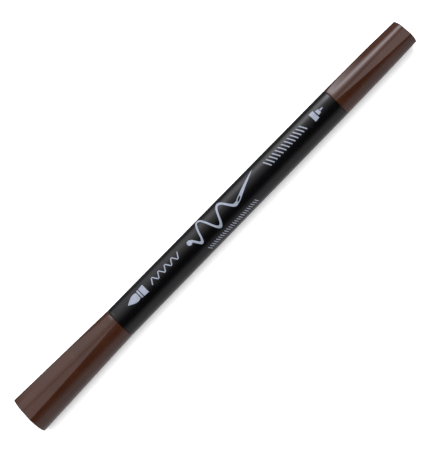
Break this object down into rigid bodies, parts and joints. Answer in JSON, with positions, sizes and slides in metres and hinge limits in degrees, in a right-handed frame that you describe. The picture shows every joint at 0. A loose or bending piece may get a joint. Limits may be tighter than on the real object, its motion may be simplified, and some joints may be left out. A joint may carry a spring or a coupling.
{
  "type": "fabric marking pen",
  "caption": "Twin-tip fabric marking pen: round barrel with a brush nib under a long flared cap and a fine nib under a short slim cap, both caps with anti-roll flats.",
  "frame": {"origin": "on the pen's axis, halfway along its length with both caps on", "axes": "+X along the pen from the brush end to the fine end, +Z square to the caps' flats, up when the pen lies on a table"},
  "size_m": [0.16, 0.0128, 0.011],
  "materials": {
    "barrel_black": "gloss",
    "cap_brown": "gloss",
    "inked_fibre": "matt",
    "natural_plastic": "satin",
    "reservoir_film": "gloss",
    "pale_print": "matt ink"
  },
  "bodies": {
    "pen_body": {"barrel": "barrel_black", "brush_section": "barrel_black", "brush_nib": "inked_fibre", "fine_nib_holder": "natural_plastic", "fine_nib": "inked_fibre", "reservoir_fibre": "inked_fibre", "reservoir_film": "reservoir_film"},
    "brush_cap": {"brush_cap_shell": "cap_brown", "brush_cap_inner_cap": "natural_plastic"},
    "fine_cap": {"fine_cap_shell": "cap_brown", "fine_cap_inner_cap": "natural_plastic"}
  },
  "joints": [
    {"name": "brush_cap_pull", "type": "slide", "parent": "pen_body", "child": "brush_cap", "axis": [-1, 0, 0], "range_m": [0, 0.04]},
    {"name": "fine_cap_pull", "type": "slide", "parent": "pen_body", "child": "fine_cap", "axis": [1, 0, 0], "range_m": [0, 0.03]}
  ]
}
